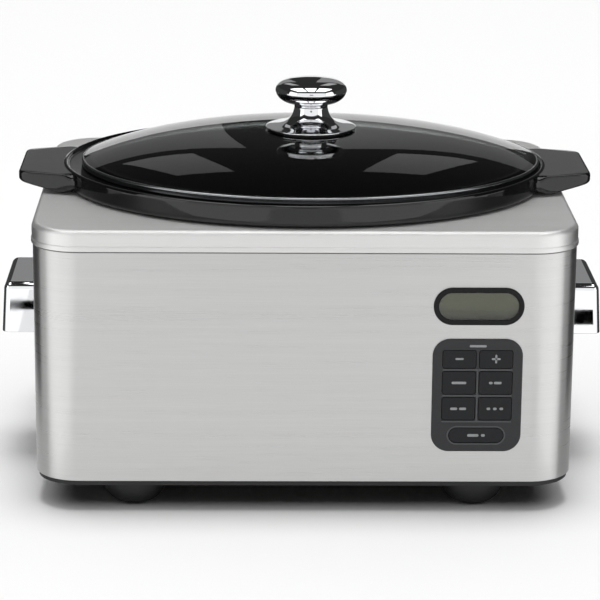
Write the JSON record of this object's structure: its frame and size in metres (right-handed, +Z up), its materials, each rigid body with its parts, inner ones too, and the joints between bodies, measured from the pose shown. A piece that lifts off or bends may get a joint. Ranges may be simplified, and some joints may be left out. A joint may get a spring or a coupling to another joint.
{
  "type": "slow cooker",
  "caption": "Rectangular brushed-steel slow cooker with an oval black stoneware crock, glass lid with a chrome knob, chrome side handles, a display and a keypad.",
  "frame": {"origin": "on the surface that it stands on, under the middle of the cooker", "axes": "+X to the right along the long side, with the keypad on the right of the front, -Y to the front, +Z up"},
  "size_m": [0.411, 0.2892, 0.2617],
  "materials": {
    "brushed_steel": "brushed stainless sheet, fine lines running left to right",
    "black_silicone": "matt silicone rubber",
    "zinc_steel": "zinc-plated steel",
    "liner_aluminium": "drawn aluminised sheet",
    "heater_foil": "foil-faced heating belt",
    "mineral_wool": "mineral wool blanket",
    "black_base": "moulded black plastic, fine texture",
    "chrome": "polished chrome plate",
    "rim_steel": "polished stainless band",
    "lid_glass": "clear tempered glass",
    "black_glaze": "black glazed stoneware",
    "black_gloss": "polished black plastic",
    "lcd_window": "tinted clear window",
    "lcd_glass": "grey-green liquid crystal display",
    "charcoal_panel": "moulded charcoal plastic, satin",
    "charcoal_key": "moulded charcoal key, satin, pale printed mark",
    "circuit_board": "green solder resist",
    "black_part": "moulded black component",
    "transformer_tape": "yellow tape over laminations",
    "terminal_nylon": "natural nylon",
    "lead_sleeve": "braided glass sleeve over wire",
    "ribbon_grey": "flat ribbon cable",
    "black_rubber": "moulded black rubber"
  },
  "bodies": {
    "housing": {"base_tray": "black_base", "board_screws": "zinc_steel", "capacitor": "black_part", "control_board": "circuit_board", "control_ribbon": "ribbon_grey", "cord_gland": "black_base", "display_bezel": "black_gloss", "display_lens": "lcd_window", "foot_screws": "zinc_steel", "front_left_foot": "black_rubber", "front_right_foot": "black_rubber", "fuse_clip": "zinc_steel", "gland_nut": "black_base", "handle_screws": "zinc_steel", "heater_band": "heater_foil", "heater_leads": "lead_sleeve", "heater_liner": "liner_aluminium", "housing_wrap": "brushed_steel", "insulation_blanket": "mineral_wool", "keypad_bezel": "charcoal_panel", "lcd_holder": "black_base", "lcd_panel": "lcd_glass", "left_handle": "chrome", "left_handle_plate": "zinc_steel", "liner_bolt": "zinc_steel", "liner_support": "zinc_steel", "mains_board": "circuit_board", "mains_board_screws": "zinc_steel", "rear_left_foot": "black_rubber", "rear_right_foot": "black_rubber", "relay": "black_part", "right_handle": "chrome", "right_handle_plate": "zinc_steel", "seam_gasket": "black_silicone", "sensor_bracket": "zinc_steel", "tact_switches": "black_part", "temperature_sensor": "zinc_steel", "terminal_block": "terminal_nylon", "thermal_fuse": "zinc_steel", "top_deck": "brushed_steel", "top_frame": "zinc_steel", "transformer": "transformer_tape"},
    "crock": {"crock": "black_glaze"},
    "lid": {"glass_lid": "lid_glass", "lid_band": "rim_steel", "knob_gasket": "black_silicone", "knob_base": "chrome", "knob_cap": "chrome", "knob_washer": "zinc_steel", "knob_screw": "zinc_steel"},
    "time_down_key": {"time_down_key": "charcoal_key"},
    "time_up_key": {"time_up_key": "charcoal_key"},
    "high_key": {"high_key": "charcoal_key"},
    "low_key": {"low_key": "charcoal_key"},
    "simmer_key": {"simmer_key": "charcoal_key"},
    "warm_key": {"warm_key": "charcoal_key"},
    "power_key": {"power_key": "charcoal_key"}
  },
  "joints": [
    {"name": "crock_lift", "type": "slide", "parent": "housing", "child": "crock", "axis": [0, 0, 1], "range_m": [0, 0.16]},
    {"name": "lid_lift", "type": "slide", "parent": "crock", "child": "lid", "axis": [0, 0, 1], "range_m": [0, 0.12]},
    {"name": "time_down_press", "type": "slide", "parent": "housing", "child": "time_down_key", "axis": [0, 1, 0], "range_m": [0, 0.0008], "stiffness_N_per_m": 400, "springref_m": -0.002},
    {"name": "time_up_press", "type": "slide", "parent": "housing", "child": "time_up_key", "axis": [0, 1, 0], "range_m": [0, 0.0008], "stiffness_N_per_m": 400, "springref_m": -0.002},
    {"name": "high_press", "type": "slide", "parent": "housing", "child": "high_key", "axis": [0, 1, 0], "range_m": [0, 0.0008], "stiffness_N_per_m": 400, "springref_m": -0.002},
    {"name": "low_press", "type": "slide", "parent": "housing", "child": "low_key", "axis": [0, 1, 0], "range_m": [0, 0.0008], "stiffness_N_per_m": 400, "springref_m": -0.002},
    {"name": "simmer_press", "type": "slide", "parent": "housing", "child": "simmer_key", "axis": [0, 1, 0], "range_m": [0, 0.0008], "stiffness_N_per_m": 400, "springref_m": -0.002},
    {"name": "warm_press", "type": "slide", "parent": "housing", "child": "warm_key", "axis": [0, 1, 0], "range_m": [0, 0.0008], "stiffness_N_per_m": 400, "springref_m": -0.002},
    {"name": "power_press", "type": "slide", "parent": "housing", "child": "power_key", "axis": [0, 1, 0], "range_m": [0, 0.0008], "stiffness_N_per_m": 400, "springref_m": -0.002}
  ]
}
